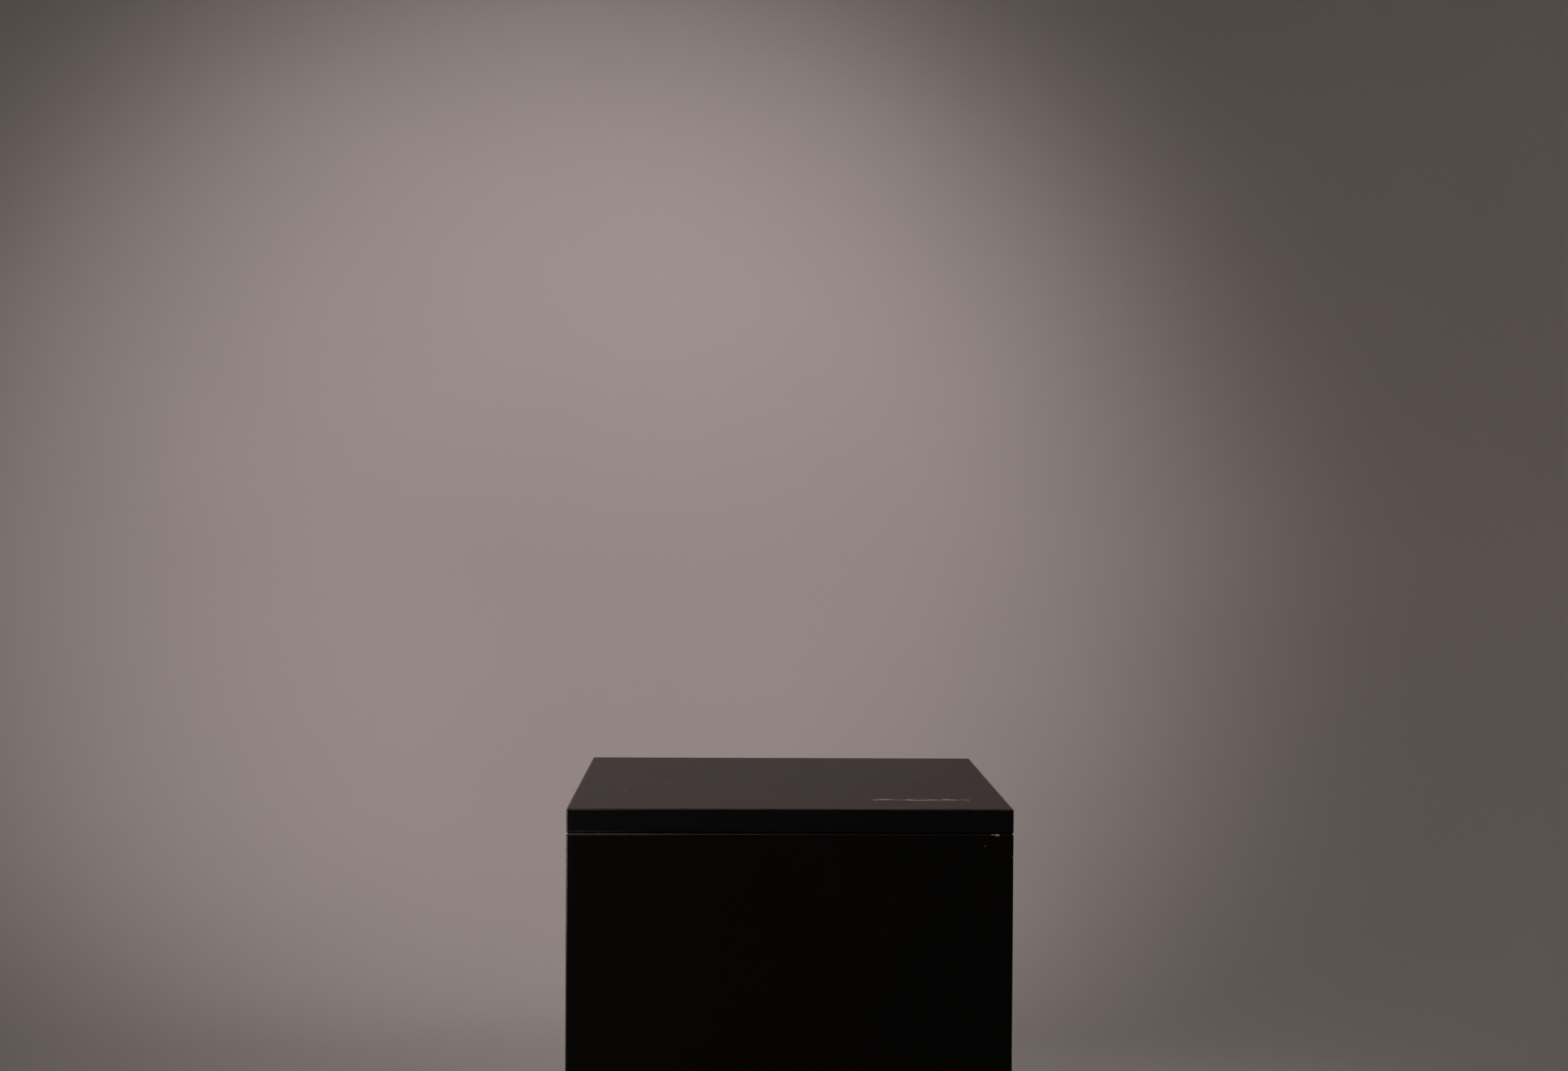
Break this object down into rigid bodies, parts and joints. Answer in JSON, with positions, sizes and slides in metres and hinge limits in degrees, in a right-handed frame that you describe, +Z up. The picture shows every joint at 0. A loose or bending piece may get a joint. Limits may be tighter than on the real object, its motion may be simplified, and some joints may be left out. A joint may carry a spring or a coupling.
{
  "type": "display plinth",
  "caption": "Tall square-plan black painted fibreboard display plinth with a lift-off lid, a ballast bay inside and screw-adjusted levelling feet.",
  "frame": {"origin": "on the floor, under the middle of the plinth, with its feet screwed right in", "axes": "+Z up through the display face, +X to the right of someone facing the front, front face towards -Y"},
  "size_m": [0.4, 0.4, 1],
  "materials": {
    "lid_paint": "satin",
    "wall_paint": "satin",
    "raw_fibreboard": "matte",
    "softwood": "matte",
    "zinc_steel": "satin",
    "black_nylon": "matte"
  },
  "bodies": {
    "carcass": {"front_panel": "wall_paint", "right_panel": "wall_paint", "back_panel": "wall_paint", "left_panel": "wall_paint", "corner_post_front_left": "softwood", "corner_post_front_right": "softwood", "corner_post_back_left": "softwood", "corner_post_back_right": "softwood", "base_bearer_front": "softwood", "base_bearer_right": "softwood", "base_bearer_back": "softwood", "base_bearer_left": "softwood", "base_panel": "raw_fibreboard", "base_screw_front_1": "zinc_steel", "base_screw_front_2": "zinc_steel", "base_screw_right_1": "zinc_steel", "base_screw_right_2": "zinc_steel", "base_screw_back_1": "zinc_steel", "base_screw_back_2": "zinc_steel", "base_screw_left_1": "zinc_steel", "base_screw_left_2": "zinc_steel", "tee_nut_front_left": "zinc_steel", "tee_nut_front_right": "zinc_steel", "tee_nut_back_left": "zinc_steel", "tee_nut_back_right": "zinc_steel"},
    "lid": {"lid_panel": "lid_paint", "lid_cleat_front": "softwood", "lid_cleat_right": "softwood", "lid_cleat_back": "softwood", "lid_cleat_left": "softwood", "cleat_screw_front_1": "zinc_steel", "cleat_screw_front_2": "zinc_steel", "cleat_screw_right_1": "zinc_steel", "cleat_screw_right_2": "zinc_steel", "cleat_screw_back_1": "zinc_steel", "cleat_screw_back_2": "zinc_steel", "cleat_screw_left_1": "zinc_steel", "cleat_screw_left_2": "zinc_steel"},
    "pad_front_left": {"foot_pad_front_left": "black_nylon"},
    "stem_front_left": {"foot_stem_front_left": "zinc_steel"},
    "pad_front_right": {"foot_pad_front_right": "black_nylon"},
    "stem_front_right": {"foot_stem_front_right": "zinc_steel"},
    "pad_back_left": {"foot_pad_back_left": "black_nylon"},
    "stem_back_left": {"foot_stem_back_left": "zinc_steel"},
    "pad_back_right": {"foot_pad_back_right": "black_nylon"},
    "stem_back_right": {"foot_stem_back_right": "zinc_steel"}
  },
  "joints": [
    {"name": "lid_lift", "type": "slide", "parent": "carcass", "child": "lid", "axis": [0, 0, 1], "range_m": [0, 0.15]},
    {"name": "foot_extend_front_left", "type": "slide", "parent": "carcass", "child": "pad_front_left", "axis": [0, 0, -1], "range_m": [0, 0.015]},
    {"name": "foot_turn_front_left", "type": "hinge", "parent": "pad_front_left", "child": "stem_front_left", "pos_m": [-0.125, -0.125, 0.03], "axis": [0, 0, -1], "range_deg": [0, 3600]},
    {"name": "foot_extend_front_right", "type": "slide", "parent": "carcass", "child": "pad_front_right", "axis": [0, 0, -1], "range_m": [0, 0.015]},
    {"name": "foot_turn_front_right", "type": "hinge", "parent": "pad_front_right", "child": "stem_front_right", "pos_m": [0.125, -0.125, 0.03], "axis": [0, 0, -1], "range_deg": [0, 3600]},
    {"name": "foot_extend_back_left", "type": "slide", "parent": "carcass", "child": "pad_back_left", "axis": [0, 0, -1], "range_m": [0, 0.015]},
    {"name": "foot_turn_back_left", "type": "hinge", "parent": "pad_back_left", "child": "stem_back_left", "pos_m": [-0.125, 0.125, 0.03], "axis": [0, 0, -1], "range_deg": [0, 3600]},
    {"name": "foot_extend_back_right", "type": "slide", "parent": "carcass", "child": "pad_back_right", "axis": [0, 0, -1], "range_m": [0, 0.015]},
    {"name": "foot_turn_back_right", "type": "hinge", "parent": "pad_back_right", "child": "stem_back_right", "pos_m": [0.125, 0.125, 0.03], "axis": [0, 0, -1], "range_deg": [0, 3600]}
  ],
  "couplings": [
    {"joint": "foot_turn_front_left", "follows": "foot_extend_front_left", "rad_per_m": 4188.8},
    {"joint": "foot_turn_front_right", "follows": "foot_extend_front_right", "rad_per_m": 4188.8},
    {"joint": "foot_turn_back_left", "follows": "foot_extend_back_left", "rad_per_m": 4188.8},
    {"joint": "foot_turn_back_right", "follows": "foot_extend_back_right", "rad_per_m": 4188.8}
  ]
}
